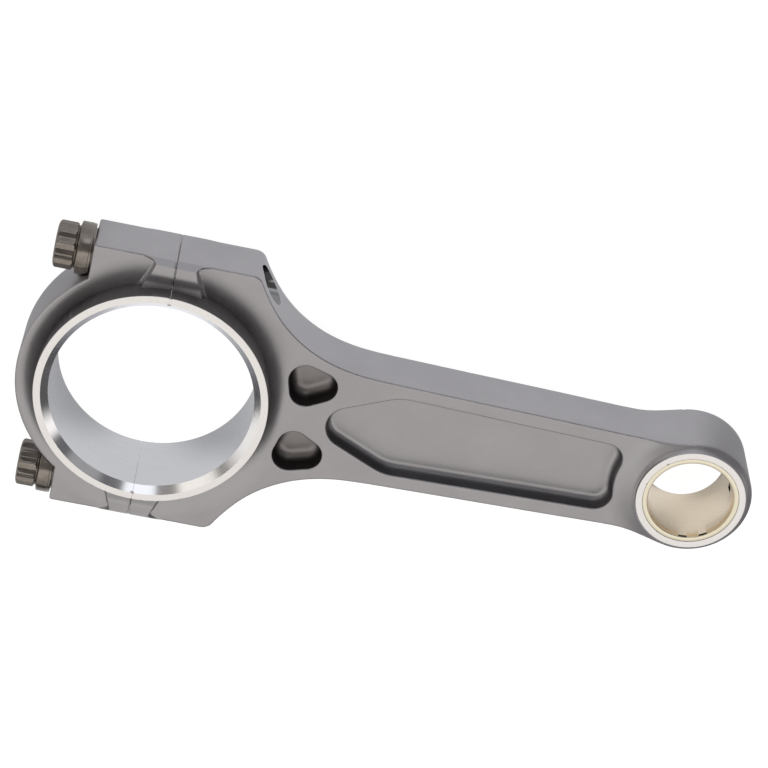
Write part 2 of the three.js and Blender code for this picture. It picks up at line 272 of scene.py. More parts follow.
# ---------------------------------------------------------------------------
# Outlines
# ---------------------------------------------------------------------------
STEP = 0.55
_ctrl = [(20.4, 40.85), (21.2, 40.78), (22.1, 40.5), (23.2, 39.7), (23.9, 38.6), (24.8, 37.0), (26.3, 34.6), (28.0, 32.1),
         (30.0, 29.6), (32.2, 27.3), (35.0, 24.9), (40.0, 21.65), (45.0, 19.4), (50.0, 17.95), (55.0, 17.1),
         (60.0, 16.75), (68.0, 16.5), (83.0, 16.1), (100.0, 15.7), (112.0, 15.4), (124.0, 15.05),
         (132.0, 14.85), (136.0, 14.85), (139.0, 15.0), (141.8, 15.35), (144.6, 15.9), (147.4, 16.55)]
_s = catmull(_ctrl, STEP)
_s = relax(_s, 60, (_s[:, 0] < 25.5))
_eye0 = math.acos((149.6 - CENTRES) / EYE_R)
_end = np.array([CENTRES + EYE_R * math.cos(_eye0), EYE_R * math.sin(_eye0)])
_top = join(straight((GAP + JOINT_EDGE, SHOULDER_Y), (20.4, SHOULDER_Y), STEP), _s, np.array([_s[-1], 0.5 * (_s[-1] + _end) + [0, 0.03], _end]))
_eye = arc(CENTRES, 0, EYE_R, _eye0, -_eye0, STEP)
ROD_OUTER = join(_top, _eye, _top[::-1] * [1, -1])[::-1]          # (g,-41.1) ... anticlockwise ... (g,41.1)
_g0 = math.asin(GAP / BORE_R)
ROD_LOOP = join(ROD_OUTER,
                straight((GAP, SHOULDER_Y - JOINT_EDGE), (GAP, BORE_R * math.cos(_g0)), STEP),
                arc(0, 0, BORE_R, math.pi / 2 - _g0, -math.pi / 2 + _g0, 0.45),
                straight((GAP, -BORE_R * math.cos(_g0)), (GAP, -SHOULDER_Y + JOINT_EDGE), STEP))
PIN_LOOP = arc(CENTRES, 0, BUSH_R + 0.02, 0, 2 * math.pi, 0.4)[:-1]

_c0 = math.acos(SEAT_X / CROWN_R)
CAP_OUTER = join(straight((-GAP - JOINT_EDGE, SHOULDER_Y), (SEAT_X + 0.7, SHOULDER_Y), STEP),
                 arc(SEAT_X + 0.7, SHOULDER_Y - 0.7, 0.7, math.pi / 2, math.pi, 0.2),
                 straight((SEAT_X, SHOULDER_Y - 0.7), (SEAT_X, CROWN_R * math.sin(_c0)), 0.4),
                 arc(0, 0, CROWN_R, _c0, 2 * math.pi - _c0, STEP),
                 straight((SEAT_X, -CROWN_R * math.sin(_c0)), (SEAT_X, -SHOULDER_Y + 0.7), 0.4),
                 arc(SEAT_X + 0.7, -SHOULDER_Y + 0.7, 0.7, math.pi, 1.5 * math.pi, 0.2),
                 straight((SEAT_X + 0.7, -SHOULDER_Y), (-GAP - JOINT_EDGE, -SHOULDER_Y), STEP))
CAP_LOOP = join(CAP_OUTER,
                straight((-GAP, -SHOULDER_Y + JOINT_EDGE), (-GAP, -BORE_R * math.cos(_g0)), STEP),
                arc(0, 0, BORE_R, 1.5 * math.pi - _g0, 0.5 * math.pi + _g0, 0.45),
                straight((-GAP, BORE_R * math.cos(_g0)), (-GAP, SHOULDER_Y - JOINT_EDGE), STEP))

LONG_POCKET = rounded([(39.6, 0, 6.35), (67.2, -12.4, 14.0), (132.6, -10.5, 5.0), (130.35, 0, 21.0), (132.6, 10.5, 5.0), (67.2, 12.4, 14.0)], 0.4)
TRI_POCKET = rounded([(33.8, 19.2, 4.8), (38.4, 2.0, 4.5), (56.6, 12.3, 4.6)], 0.35)
TRI_POCKETS = [TRI_POCKET, (TRI_POCKET * [1, -1])[::-1]]
POCKETS = [(LONG_POCKET, 3.3, 2.3)] + [(t, 1.4, 3.3) for t in TRI_POCKETS]   # loop, floor height, fillet radius

# ---------------------------------------------------------------------------
# Face heights above mid-thickness, for either side
# ---------------------------------------------------------------------------
EDGE = 0.5         # broken outer edge
FLARE_Y = np.array([27.0, 28.6, 29.4, 30.9, 32.1, 33.8, 35.4, 37.3, 38.7, 39.4, 39.9, 40.3, 40.6, 40.85])
FLARE_X = np.array([10.2, 9.6, 9.2, 8.5, 8.0, 7.35, 6.7, 6.0, 5.62, 5.5, 5.9, 6.6, 7.5, 9.0])
FLARE_FILLET = 0.95
POCKET_EDGE = 0.35
_ey = np.array([[15.3, 11.75], [15.36, 11.4], [15.5, 11.1], [15.8, 10.74], [16.2, 10.4], [17.25, 9.85], [18.6, 9.2],
                [20.4, 8.55], [22.4, 8.15], [23.6, 8.1], [60.0, 8.1]])
_eyc = catmull(_ey[:-1], 0.05)
_eyc = np.vstack([_eyc, _ey[-1:]])
_eyc = _eyc[np.argsort(_eyc[:, 0])]


def face_height(x, y, side, outer):
    """Height of the upper or lower face at design points x, y (side is not used: both come out the same); outer is the
    part's outer wall.
    """
    R = np.hypot(x, y)
    ay = np.abs(y)
    # pads, falling ever more steeply to the foot of the thrust ring; the fall is narrow in line with
    # the rod and wide beside the joint
    a = np.degrees(np.arctan2(ay, np.abs(x)))
    r0 = np.where(x > 0, 36.6 + 4.2 * sstep(a / 42.0), 37.2 + 3.6 * sstep((a - 38.0) / 30.0))
    z = PAD - 1.95 * (np.clip(r0 - R, 0, r0 - THRUST_R) / (r0 - THRUST_R)) ** 1.75
    z = np.where(R < 45.0, z, PAD)
    # raised band each side of the joint: bevelled to the shoulder edge, dished towards the ring,
    # standing on a round fillet
    xe = np.interp(ay, FLARE_Y, FLARE_X)
    mask = np.zeros(len(x))
    near = (ay > 26) & (np.abs(x) < 14)
    dist = seg_distance(np.abs(x[near]), ay[near], np.c_[FLARE_X, FLARE_Y], False)
    width = FLARE_FILLET - 0.4 * sstep((ay[near] - 37.0) / 2.5)
    t = np.clip(1 - dist / width, 0, 1)
    mask[near] = np.where(np.abs(x[near]) > xe[near], t ** 1.8, 1.0)
    band = BAND - 0.9 * sstep((36.9 - ay) / 3.6)
    bevel = BAND - (BAND - PAD) * (ay - BAND_Y) / (SHOULDER_Y - BAND_Y)
    band = np.minimum(band, bevel)
    z = z + np.maximum(band - z, -0.2) * mask
    # pin-end eye
    re = np.hypot(x - CENTRES, y)
    ze = np.where(re < EYE_FACE_R, EYE_HALF, np.interp(re, _eyc[:, 0], _eyc[:, 1]))
    z = np.where(x > 110, ze, z)
    # broken outer edges and the joint's edge
    d = seg_distance(x, y, outer, False)
    z = z - fillet_drop(d, np.where(ay > SHOULDER_Y - 1.0, EDGE - 0.36 * sstep((10.5 - np.abs(x)) / 4.5), EDGE))
    dj = np.where(ay > THRUST_R, np.abs(np.abs(x) - GAP), 9.0)
    z = z - fillet_drop(dj, JOINT_EDGE)
    # thrust ring with the bore chamfer
    top = BIG_HALF - fillet_drop(THRUST_R - R, 0.12)
    top = top - np.clip(BORE_R + CHAMFER - R, 0, CHAMFER)
    z = np.where(R <= THRUST_R + 1e-4, top, z)
    # pin bore edge
    z = np.where(re < 14.4, z - fillet_drop(re - (BUSH_R + 0.02), 0.12), z)
    # pockets
    for loop, floor, rf in POCKETS:
        lo, hi = loop.min(0) - 1, loop.max(0) + 1
        near = (x > lo[0]) & (x < hi[0]) & (y > lo[1]) & (y < hi[1])
        if not near.any():
            continue
        dd = seg_distance(x[near], y[near], loop, True)
        ins = inside(x[near], y[near], loop) | (dd < 1e-4)
        t = np.clip(rf - dd, 0, rf)
        wall = floor + rf - np.sqrt(np.maximum(rf * rf - t * t, 0))
        # the wall meets the broken edge
        edge = z[near] - POCKET_EDGE
        steep = np.clip(dd / 0.04, 0, 1)
        zin = edge + (np.minimum(wall, edge) - edge) * steep
        zout = z[near] - fillet_drop(dd, POCKET_EDGE)
        z[near] = np.where(ins, zin, zout)
    return z


def build_half(name, loop, holes, outer, side_x, rings, extra_loops, zones, materials):
    """Closed body: two height-field faces on one triangulation, with upright walls between them."""
    pts, edges = [], []

    def add_loop(p, closed):
        base = len(pts)
        pts.extend(map(tuple, p))
        m = len(p)
        for i in range(m - (0 if closed else 1)):
            edges.append((base + i, base + (i + 1) % m))

    add_loop(loop, True)
    for h in holes:
        add_loop(h, True)
    for p, closed in rings:
        add_loop(p, closed)
    for p in extra_loops:
        add_loop(p, True)
    # free points: bands along the outer edge, then grids
    free = []
    t = np.roll(outer, -1, axis=0) - np.roll(outer, 1, axis=0)
    t /= np.maximum(np.linalg.norm(t, axis=1, keepdims=True), 1e-9)
    nrm = np.c_[-t[:, 1], t[:, 0]]
    for d in (0.02, 0.07, 0.15, 0.26, 0.38, 0.5, 0.9):
        q = outer[1:-1] + d * nrm[1:-1]
        dist = seg_distance(q[:, 0], q[:, 1], outer, False)
        free.append(q[dist > d * 0.9])
    for (x0, x1, y0, y1, s) in zones:
        gx, gy = np.meshgrid(np.arange(x0, x1, s), np.arange(y0, y1, s * 0.866))
        gx = gx + (np.arange(gx.shape[0])[:, None] % 2) * s / 2
        free.append(np.c_[gx.ravel(), gy.ravel()])
    free = np.vstack(free)
    ok = inside(free[:, 0], free[:, 1], loop)
    for h in holes:
        ok &= ~inside(free[:, 0], free[:, 1], h)
    free = free[ok]
    # drop free points that crowd the held ones
    held = np.array(pts)
    cell = {}
    for i, (hx, hy) in enumerate(held):
        cell.setdefault((int(hx // 0.25), int(hy // 0.25)), []).append(i)
    keep = []
    for i, (fx, fy) in enumerate(free):
        cx, cy = int(fx // 0.25), int(fy // 0.25)
        bad = False
        for a in (-1, 0, 1):
            for b in (-1, 0, 1):
                for j in cell.get((cx + a, cy + b), ()):
                    dx, dy = held[j][0] - fx, held[j][1] - fy
                    if dx * dx + dy * dy < 0.0002:
                        bad = True
        if not bad:
            keep.append(i)
    pts.extend(map(tuple, free[keep]))
    res = delaunay_2d_cdt([Vector(p) for p in pts], edges, [], 0, 1e-6)
    V = np.array([(v.x, v.y) for v in res[0]])
    F = np.array(res[2])
    c = V[F].mean(1)
    ok = inside(c[:, 0], c[:, 1], loop)
    for h in holes:
        ok &= ~inside(c[:, 0], c[:, 1], h)
    F = F[ok]
    a, b, cc = V[F[:, 0]], V[F[:, 1]], V[F[:, 2]]
    area = (b[:, 0] - a[:, 0]) * (cc[:, 1] - a[:, 1]) - (b[:, 1] - a[:, 1]) * (cc[:, 0] - a[:, 0])
    F = np.where(area[:, None] < 0, F[:, ::-1], F)
    used = np.unique(F)
    remap = -np.ones(len(V), int)
    remap[used] = np.arange(len(used))
    V, F = V[used], remap[F]
    x, y = V[:, 0].copy(), V[:, 1].copy()
    zu = face_height(x, y, 1, outer)
    zd = face_height(x, y, -1, outer)
    n = len(V)
    verts = [np.c_[V, zu], np.c_[V, -zd]]
    faces = [tuple(f) for f in F] + [tuple(f[::-1] + n) for f in F]
    # upright walls
    e = np.vstack([F[:, [0, 1]], F[:, [1, 2]], F[:, [2, 0]]])
    key = {}
    for p, q in e:
        key[(int(p), int(q))] = True
    rim = [(p, q) for (p, q) in key if (q, p) not in key]
    K = 6
    rv = sorted({p for p, q in rim} | {q for p, q in rim})
    idx = {v: i for i, v in enumerate(rv)}
    mid = []
    for k in range(1, K):
        f = k / K
        mid.append(np.c_[V[rv], zu[rv] * (1 - f) + (-zd[rv]) * f])
    base = 2 * n
    verts += mid
    verts = np.vstack(verts)

    def col(v, k):
        if k == 0:
            return v
        if k == K:
            return v + n
        return base + (k - 1) * len(rv) + idx[v]
    for p, q in rim:
        for k in range(K):
            faces.append((col(q, k), col(p, k), col(p, k + 1), col(q, k + 1)))
    return make_object(name, verts, faces, materials, None)


def boolean(ob, cutters):
    for c in cutters:
        m = ob.modifiers.new("cut", "BOOLEAN")
        m.operation = "DIFFERENCE"
        m.solver = "MANIFOLD"
        m.object = c
    dg = bpy.context.evaluated_depsgraph_get()
    dg.update()
    me = bpy.data.meshes.new_from_object(ob.evaluated_get(dg), preserve_all_data_layers=True, depsgraph=dg)
    ob.modifiers.clear()
    old = ob.data
    ob.data = me
    bpy.data.meshes.remove(old)
    for c in cutters:
        m = c.data
        bpy.data.objects.remove(c)
        bpy.data.meshes.remove(m)


def cutter(name, profile, axis, centre, n=96):
    v, f = revolve(profile, axis, centre, n, False)
    return make_object(name, v, f, (), None)


def cutter_box(name, x0, x1, y0, y1, z0, z1):
    v = [(x, y, z) for x in (x0, x1) for y in (y0, y1) for z in (z0, z1)]
    f = [(0, 1, 3, 2), (4, 6, 7, 5), (0, 4, 5, 1), (2, 3, 7, 6), (0, 2, 6, 4), (1, 5, 7, 3)]
    return make_object(name, v, f, (), None)


# ---------------------------------------------------------------------------
# Materials
# ---------------------------------------------------------------------------
def new_material(name):
    m = bpy.data.materials.new(name)
    m.use_nodes = True
    nt = m.node_tree
    bsdf = nt.nodes["Principled BSDF"]
    return m, nt, bsdf


def node(nt, kind, **kw):
    n = nt.nodes.new(kind)
    for k, v in kw.items():
        if hasattr(n, k):
            setattr(n, k, v)
        else:
            n.inputs[k].default_value = v
    return n


def position_mm(nt, scale=(1, 1, 1), rotate=(0, 0, 0)):
    """Object position in millimetres from the crank bore's centre."""
    tc = node(nt, "ShaderNodeTexCoord")
    mp = node(nt, "ShaderNodeMapping")
    mp.inputs["Location"].default_value = (-OX * scale[0], -OY * scale[1], -OZ * scale[2])
    mp.inputs["Scale"].default_value = tuple(1000.0 * s for s in scale)
    mp.inputs["Rotation"].default_value = rotate
    nt.links.new(tc.outputs["Object"], mp.inputs["Vector"])
    return mp.outputs["Vector"]


def noise(nt, vec, scale, detail=2.0, rough=0.5):
    n = node(nt, "ShaderNodeTexNoise")
    n.inputs["Scale"].default_value = scale
    n.inputs["Detail"].default_value = detail
    n.inputs["Roughness"].default_value = rough
    nt.links.new(vec, n.inputs["Vector"])
    return n.outputs["Fac"]


def math_node(nt, op, a, b=None, clamp=False):
    n = node(nt, "ShaderNodeMath", operation=op)
    n.use_clamp = clamp
    for i, v in enumerate((a, b)):
        if v is None:
            continue
        if isinstance(v, (int, float)):
            n.inputs[i].default_value = v
        else:
            nt.links.new(v, n.inputs[i])
    return n.outputs[0]


def map_range(nt, v, a, b, c, d, mode="LINEAR"):
    n = node(nt, "ShaderNodeMapRange")
    n.interpolation_type = mode
    for k, x in zip(("From Min", "From Max", "To Min", "To Max"), (a, b, c, d)):
        n.inputs[k].default_value = x
    nt.links.new(v, n.inputs["Value"])
    return n.outputs["Result"]


def colour_mix(nt, fac, a, b):
    n = node(nt, "ShaderNodeMix", data_type="RGBA")
    if isinstance(fac, (int, float)):
        n.inputs[0].default_value = fac
    else:
        nt.links.new(fac, n.inputs[0])
    n.inputs[6].default_value = (*a, 1)
    n.inputs[7].default_value = (*b, 1)
    return n.outputs[2]


def bump(nt, bsdf, height, distance, strength=1.0, chain=None):
    n = node(nt, "ShaderNodeBump")
    n.inputs["Strength"].default_value = strength
    n.inputs["Distance"].default_value = distance
    nt.links.new(height, n.inputs["Height"])
    if chain is not None:
        nt.links.new(chain, n.inputs["Normal"])
    nt.links.new(n.outputs["Normal"], bsdf.inputs["Normal"])
    return n.outputs["Normal"]


def satin_steel(name, tone=1.0, tint=(1, 1, 1), wall=None):
    """Peened and tumbled steel: a fine even grain, with faint clouding. Optional painted shade on the
    pocket walls, the base colour darkened with height: wall = (height from, height to, tone)."""
    m, nt, b = new_material(name)
    p = position_mm(nt)
    cloud = noise(nt, p, 0.09, 3.0, 0.55)
    grain = noise(nt, p, 3.2, 3.0, 0.6)
    fine = noise(nt, p, 7.5, 2.0, 0.5)
    mixv = math_node(nt, "ADD", math_node(nt, "MULTIPLY", cloud, 0.55), math_node(nt, "MULTIPLY", grain, 0.45))
    col = colour_mix(nt, map_range(nt, mixv, 0.35, 0.65, 0, 1),
                     tuple(tone * t * c for t, c in zip(tint, (0.410, 0.397, 0.408))), tuple(tone * t * c for t, c in zip(tint, (0.470, 0.457, 0.468))))
    if wall is not None:
        # painted shade: the base colour darkens with |z| up the pocket walls, towards the given tone
        sep = node(nt, "ShaderNodeSeparateXYZ")
        nt.links.new(p, sep.inputs[0])
        f = map_range(nt, math_node(nt, "ABSOLUTE", sep.outputs[2]), wall[0], wall[1], 1.0, wall[2], "SMOOTHSTEP")
        dark = node(nt, "ShaderNodeMix", data_type="RGBA")
        nt.links.new(f, dark.inputs[0])
        dark.inputs[6].default_value = (0, 0, 0, 1)
        nt.links.new(col, dark.inputs[7])
        col = dark.outputs[2]
    nt.links.new(col, b.inputs["Base Color"])
    b.inputs["Metallic"].default_value = 1.0
    nt.links.new(map_range(nt, mixv, 0.3, 0.7, 0.37, 0.45), b.inputs["Roughness"])
    c1 = bump(nt, b, grain, 0.00002, 0.35)
    bump(nt, b, fine, 0.00001, 0.35, c1)
    return m


def ground_steel(name):
    """Ground thrust faces: bright, with fine crossing lines."""
    m, nt, b = new_material(name)
    p = position_mm(nt, (0.25, 3.0, 1.0), (0, 0, 0.5))
    q = position_mm(nt, (3.0, 0.25, 1.0), (0, 0, 0.2))
    l1 = noise(nt, p, 2.0, 3.0, 0.6)
    l2 = noise(nt, q, 2.0, 3.0, 0.6)
    s = math_node(nt, "ADD", l1, l2)
    col = colour_mix(nt, map_range(nt, s, 0.8, 1.2, 0, 1), (0.91, 0.885, 0.865), (0.965, 0.945, 0.925))
    nt.links.new(col, b.inputs["Base Color"])
    b.inputs["Metallic"].default_value = 1.0
    nt.links.new(map_range(nt, s, 0.7, 1.3, 0.26, 0.36), b.inputs["Roughness"])
    bump(nt, b, s, 0.00001, 0.3)
    return m


def turned_steel(name, centre, base, rough, across, line_scale, strength, tint=(1, 1, 1), along_z=6.0, anisotropic=0.0):
    """Turned or honed steel with lines running round the bore at centre (mm)."""
    m, nt, b = new_material(name)
    p = position_mm(nt)
    sep = node(nt, "ShaderNodeSeparateXYZ")
    nt.links.new(p, sep.inputs[0])
    dx = math_node(nt, "SUBTRACT", sep.outputs[0], centre)
    ang = math_node(nt, "ARCTAN2", sep.outputs[1], dx)
    rad = math_node(nt, "SQRT", math_node(nt, "ADD", math_node(nt, "MULTIPLY", dx, dx), math_node(nt, "MULTIPLY", sep.outputs[1], sep.outputs[1])))
    comb = node(nt, "ShaderNodeCombineXYZ")
    # position round the bore is taken from sine and cosine, so there is no seam
    nt.links.new(math_node(nt, "MULTIPLY", math_node(nt, "SINE", ang), across), comb.inputs[0])
    nt.links.new(math_node(nt, "MULTIPLY", math_node(nt, "COSINE", ang), across), comb.inputs[1])
    nt.links.new(math_node(nt, "MULTIPLY", math_node(nt, "ADD", sep.outputs[2], math_node(nt, "MULTIPLY", rad, 1.0)), along_z), comb.inputs[2])
    lines = noise(nt, comb.outputs[0], line_scale, 3.0, 0.65)
    col = colour_mix(nt, map_range(nt, lines, 0.3, 0.7, 0, 1), tuple(0.92 * base * t for t in tint), tuple(1.05 * base * t for t in tint))
    nt.links.new(col, b.inputs["Base Color"])
    b.inputs["Metallic"].default_value = 1.0
    nt.links.new(map_range(nt, lines, 0.3, 0.7, rough * 0.8, rough * 1.25), b.inputs["Roughness"])
    bump(nt, b, lines, 0.00002, strength)
    if anisotropic:
        # the lines run round the bore, so the gloss spreads along it
        tang = node(nt, "ShaderNodeCombineXYZ")
        nt.links.new(math_node(nt, "MULTIPLY", sep.outputs[1], -1.0), tang.inputs[0])
        nt.links.new(dx, tang.inputs[1])
        nt.links.new(tang.outputs[0], b.inputs["Tangent"])
        b.inputs["Anisotropic"].default_value = anisotropic
    return m


def bolt_steel(name):
    m, nt, b = new_material(name)
    p = position_mm(nt)
    cloud = noise(nt, p, 0.35, 3.0, 0.6)
    fine = noise(nt, position_mm(nt, (0.4, 2.5, 2.5)), 3.0, 3.0, 0.6)
    s = math_node(nt, "ADD", math_node(nt, "MULTIPLY", cloud, 0.6), math_node(nt, "MULTIPLY", fine, 0.4))
    col = colour_mix(nt, map_range(nt, s, 0.35, 0.65, 0, 1), (0.225, 0.200, 0.175), (0.310, 0.280, 0.250))
    nt.links.new(col, b.inputs["Base Color"])
    b.inputs["Metallic"].default_value = 1.0
    nt.links.new(map_range(nt, s, 0.35, 0.65, 0.16, 0.25), b.inputs["Roughness"])
    bump(nt, b, fine, 0.00001, 0.3)
    return m


MAT_BODY = satin_steel("peened_steel")
MAT_GROUND = ground_steel("ground_steel")
# painted shade: the small pockets are darker all over (tone 0.66) and both pocket materials darken up their walls
MAT_SMALL_POCKET_SHADE = satin_steel("small_pocket_painted_shade", 0.66, (1.04, 0.99, 0.95), (1.5, 3.6, 0.36))
MAT_LONG_POCKET_SHADE = satin_steel("long_pocket_painted_shade", 1.0, (1, 1, 1), (3.32, 4.3, 0.36))
MAT_TURNED = turned_steel("turned_chamfer", 0.0, 0.86, 0.13, 3.0, 3.0, 0.12, (1.0, 1.0, 1.01))
MAT_HONED = turned_steel("honed_bore", 0.0, 0.55, 0.25, 2.2, 1.6, 0.25, (1.0, 1.0, 1.02), 5.0, 0.6)
MAT_SEAT = satin_steel("machined_seat", 0.9)
# painted shade: the outer wall at the foot of the thrust ring is darkened to half tone, a painted shadow ring
MAT_RING_FOOT_SHADE = satin_steel("ring_foot_painted_shade", 0.5)
# painted shade: bolt holes and the bush's oil slots get a dark base (0.26) for the shade inside them
MAT_HOLE_SHADE = turned_steel("bolt_hole_painted_shade", 0.0, 0.26, 0.14, 1.0, 1.0, 0.05)
MAT_BOLT = bolt_steel("dark_bolt_steel")
MAT_PIN = turned_steel("dowel_steel", 0.0, 0.62, 0.2, 1.0, 1.5, 0.2)
MAT_BUSH_FACE = turned_steel("bronze_face", CENTRES, 0.97, 0.34, 2.5, 2.5, 0.1, (1.0, 0.93, 0.74))
MAT_BUSH_BORE = turned_steel("bronze_bore", CENTRES, 0.80, 0.25, 2.0, 1.8, 0.2, (1.0, 0.86, 0.66), 4.0, 0.5)

# ---------------------------------------------------------------------------
# Rod body and cap
# ---------------------------------------------------------------------------
RING_STEPS = (28.9, 29.6, 30.15, 31.0, 31.7, 32.0, 32.12, 32.2, 32.215, 32.3, 32.45, 32.7, 33.0, 33.35, 33.7)


def half_rings(right):
    out = []
    for r in RING_STEPS:
        g = math.asin(GAP / r)
        a0, a1 = (-math.pi / 2 + g, math.pi / 2 - g) if right else (math.pi / 2 + g, 1.5 * math.pi - g)
        out.append((arc(0, 0, r, a0, a1, 0.5)[1:-1], False))
    return out


def valley_points(right, r1):
    """Extra round rows in the valley, as grid points."""
    out = []
    for r in np.arange(34.1, r1, 0.5):
        g = 0.2 / r
        a0, a1 = (-math.pi / 2 + g, math.pi / 2 - g) if right else (math.pi / 2 + g, 1.5 * math.pi - g)
        out.append((arc(0, 0, r, a0, a1, 0.6), False))
    return out


def flare_rows(sx):
    """Rows along the crisp edge of the joint's raised band and down its fillet."""
    c = catmull(np.c_[FLARE_X, FLARE_Y], 0.35)
    c = c[(np.hypot(c[:, 0], c[:, 1]) > THRUST_R + 0.6) & (c[:, 1] < SHOULDER_Y - 0.12)]
    t = np.gradient(c, axis=0)
    t /= np.linalg.norm(t, axis=1, keepdims=True)
    nrm = np.c_[t[:, 1], -t[:, 0]]
    out = []
    for d in (-0.12, 0.0, 0.1, 0.3, 0.6, 0.95, 1.3, 1.6, 1.72):
        q = c + d * nrm
        q = q[(q[:, 0] > 0.4) & (q[:, 1] < SHOULDER_Y - 0.1) & (np.hypot(q[:, 0], q[:, 1]) > THRUST_R + 0.4)]
        for sy in (1, -1):
            out.append((q * [sx, sy], False))
    # crease of the bevel
    for yy in (BAND_Y - 0.15, BAND_Y, BAND_Y + 0.15):
        for sy in (1, -1):
            out.append((straight((sx * 0.4, sy * yy), (sx * 5.2, sy * yy), 0.5), False))
    return out


pocket_loops = []
for loop, floor, rf in POCKETS:
    for d in (-0.35, -0.22, -0.1, -0.03, 0.0, 0.04, 0.12, 0.25, 0.45, 0.7, 1.0, 1.4, 1.9, 2.4):
        pocket_loops.append(offset_loop(loop, d))
eye_rings = [(arc(CENTRES, 0, r, 0, 2 * math.pi, 0.45)[:-1], True) for r in (13.5, 14.4, 15.1, 15.2, 15.3, 15.36, 15.44, 15.55, 15.75, 16.05, 16.4)]

rod = build_half("rod_body_fine", ROD_LOOP, [PIN_LOOP], ROD_OUTER, 1, half_rings(True) + valley_points(True, 36.5) + flare_rows(1) + eye_rings, pocket_loops,
                 [(0.2, 14, -41, 41, 0.45), (14, 47, -41, 41, 0.9), (47, 128, -18, 18, 1.0), (36, 72, -17, 17, 0.7), (66, 132, 4.5, 12, 0.6), (66, 132, -12, -4.5, 0.6), (126, 172, -18, 18, 0.6)],
                 (MAT_BODY, MAT_GROUND, MAT_TURNED, MAT_HONED, MAT_SEAT, MAT_HOLE_SHADE, MAT_SMALL_POCKET_SHADE, MAT_LONG_POCKET_SHADE, MAT_RING_FOOT_SHADE))
cap = build_half("big_end_cap_fine", CAP_LOOP, [], CAP_OUTER, -1, half_rings(False) + valley_points(False, 36.6) + flare_rows(-1), [],
                 [(-14, -0.2, -41, 41, 0.45), (-38, -14, -41, 41, 0.8)],
                 (MAT_BODY, MAT_GROUND, MAT_TURNED, MAT_HONED, MAT_SEAT, MAT_HOLE_SHADE, MAT_SMALL_POCKET_SHADE, MAT_LONG_POCKET_SHADE, MAT_RING_FOOT_SHADE))

rod_cuts, cap_cuts = [], []
for s in (1, -1):
    y = s * BOLT_Y
    rod_cuts.append(cutter("c", [(0, -1.0), (BOLT_HOLE + 1.5, -1.0), (BOLT_HOLE, 0.5), (BOLT_HOLE, 43.0), (0, 43.0)], "x", (0, y, 0)))
    cap_cuts.append(cutter("c", [(0, -40.0), (BOLT_HOLE, -40.0), (BOLT_HOLE, 1.0), (0, 1.0)], "x", (0, y, 0)))
    cap_cuts.append(cutter("c", [(0, -45.0), (7.75, -45.0), (7.75, SEAT_X), (0, SEAT_X)], "x", (0, y, 0)))
    rod_cuts.append(cutter("c", [(0, -1.0), (DOWEL_R + 0.03, -1.0), (DOWEL_R + 0.03, 4.7), (0, 4.7)], "x", (0, s * DOWEL_Y, -s * DOWEL_Z), 32))
    cap_cuts.append(cutter("c", [(0, -5.0), (DOWEL_R + 0.06, -5.0), (DOWEL_R + 0.06, 1.0), (0, 1.0)], "x", (0, s * DOWEL_Y, -s * DOWEL_Z), 32))
rod_cuts.append(cutter_box("c", -1, 4.6, 25, 29.75, 1.5, 7.7))
cap_cuts.append(cutter_box("c", -4.6, 1, 25, 29.75, 1.5, 7.7))
boolean(rod, rod_cuts)
boolean(cap, cap_cuts)


def assign(ob):
    me = ob.data
    n = len(me.polygons)
    c = np.empty(n * 3)
    me.polygons.foreach_get("center", c)
    nv = np.empty(n * 3)
    me.polygons.foreach_get("normal", nv)
    c = c.reshape(-1, 3) * 1000 - [OX, OY, OZ]
    nv = nv.reshape(-1, 3)
    R = np.hypot(c[:, 0], c[:, 1])
    re = np.hypot(c[:, 0] - CENTRES, c[:, 1])
    idx = np.zeros(n, int)
    flat = np.abs(nv[:, 2]) > 0.95
    idx[(R < THRUST_R) & (np.abs(c[:, 2]) > BIG_HALF - 0.02) & flat] = 1
    idx[(re < EYE_FACE_R) & (np.abs(c[:, 2]) > EYE_HALF - 0.02) & flat] = 1
    idx[(R < THRUST_R - 0.5) & (np.abs(c[:, 2]) > BIG_HALF - 2.0) & (np.abs(nv[:, 2]) < 0.9) & (np.abs(nv[:, 2]) > 0.4)] = 2
    idx[(R < BORE_R + 0.05) & (np.abs(nv[:, 2]) < 0.2)] = 3
    # painted shade on the thrust ring's outer wall
    idx[(R > THRUST_R - 0.1) & (R < THRUST_R + 0.8) & (np.abs(nv[:, 2]) < 0.5) & (np.abs(c[:, 2]) > 5)] = 8
    hy = np.hypot(np.abs(c[:, 1]) - BOLT_Y, c[:, 2])
    idx[(hy < 7.85) & (c[:, 0] < SEAT_X + 0.05) & (c[:, 0] > SEAT_X - 0.05)] = 4
    # bolt hole walls get the dark material, painted shade
    idx[(hy < BOLT_HOLE + 0.06) & (c[:, 0] > SEAT_X) & (np.abs(nv[:, 0]) < 0.5)] = 5
    if c[:, 0].max() > 0:
        flat_xy = np.abs(c[:, 2]) < PAD - 0.3
        for k, (loop, floor, rf) in enumerate(POCKETS):
            lo, hi = loop.min(0), loop.max(0)
            near = np.nonzero(flat_xy & (c[:, 0] > lo[0]) & (c[:, 0] < hi[0]) & (c[:, 1] > lo[1]) & (c[:, 1] < hi[1]))[0]
            hit = near[inside(c[near, 0], c[near, 1], loop)]
            # pocket faces get the pocket materials with painted shade
            idx[hit] = 7 if k == 0 else 6
    me.polygons.foreach_set("material_index", idx)
    me.update()


for ob in (rod, cap):
    assign(ob)
    smooth(ob, 33)
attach(rod, "rod"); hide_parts("rod_body")
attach(cap, "cap"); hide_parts("big_end_cap")

# ---------------------------------------------------------------------------
# Cap bolts: rounded twelve-point head, cone, flange, waisted shank and thread
# ---------------------------------------------------------------------------
def star_radius(t):
    a = 5.75
    s = math.radians(60)
    u = ((t + s / 2) % s) - s / 2
    v = ((t + s / 2 + s / 2) % s) - s / 2
    r = max(a / math.cos(u), a / math.cos(v))
    return r


